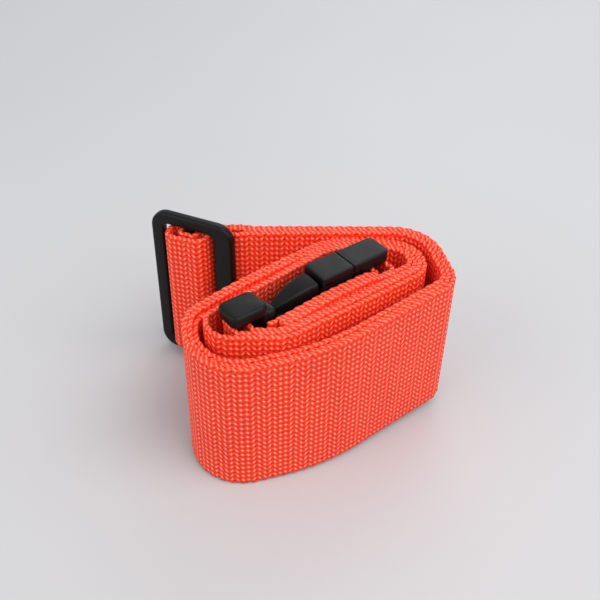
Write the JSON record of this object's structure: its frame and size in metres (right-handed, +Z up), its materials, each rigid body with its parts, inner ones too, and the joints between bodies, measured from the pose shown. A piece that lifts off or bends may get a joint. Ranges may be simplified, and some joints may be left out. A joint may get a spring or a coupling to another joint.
{
  "type": "luggage strap",
  "caption": "Luggage strap of orange-red woven webbing, wound into a coil standing on its edge, with a black side-release buckle and a tri-glide slide.",
  "frame": {"origin": "on the table under the middle of the buckle's mouth, where the long edge of the buckle rests", "axes": "+X to the right along the straight back run of the coil, +Y towards that run, +Z up along the width of the webbing"},
  "size_m": [0.102, 0.074, 0.06],
  "materials": {
    "webbing": "woven, matt",
    "buckle_plastic": "satin",
    "thread": "matt"
  },
  "bodies": {
    "coil": {"webbing": "webbing", "receptacle": "buckle_plastic", "buckle_stitching": "thread", "slide_stitching": "thread"},
    "plug": {"plug_body": "buckle_plastic"},
    "arm_upper": {"release_arm_upper": "buckle_plastic"},
    "arm_lower": {"release_arm_lower": "buckle_plastic"},
    "slide": {"slide": "buckle_plastic"}
  },
  "joints": [
    {"name": "plug_play", "type": "slide", "parent": "coil", "child": "plug", "axis": [0.788, 0.6157, 0], "range_m": [0, 0.001]},
    {"name": "arm_upper_press", "type": "hinge", "parent": "plug", "child": "arm_upper", "pos_m": [0.00278, 0.00294, 0.05], "axis": [0.6157, -0.788, 0], "range_deg": [0, 11], "stiffness_Nm_per_rad": 0.6},
    {"name": "arm_lower_press", "type": "hinge", "parent": "plug", "child": "arm_lower", "pos_m": [0.00278, 0.00294, 0.01], "axis": [-0.6157, 0.788, 0], "range_deg": [0, 11], "stiffness_Nm_per_rad": 0.6},
    {"name": "slide_tilt", "type": "hinge", "parent": "coil", "child": "slide", "pos_m": [-0.04726, 0.02634, 0.03], "axis": [0, 0, -1], "range_deg": [0, 10]}
  ]
}
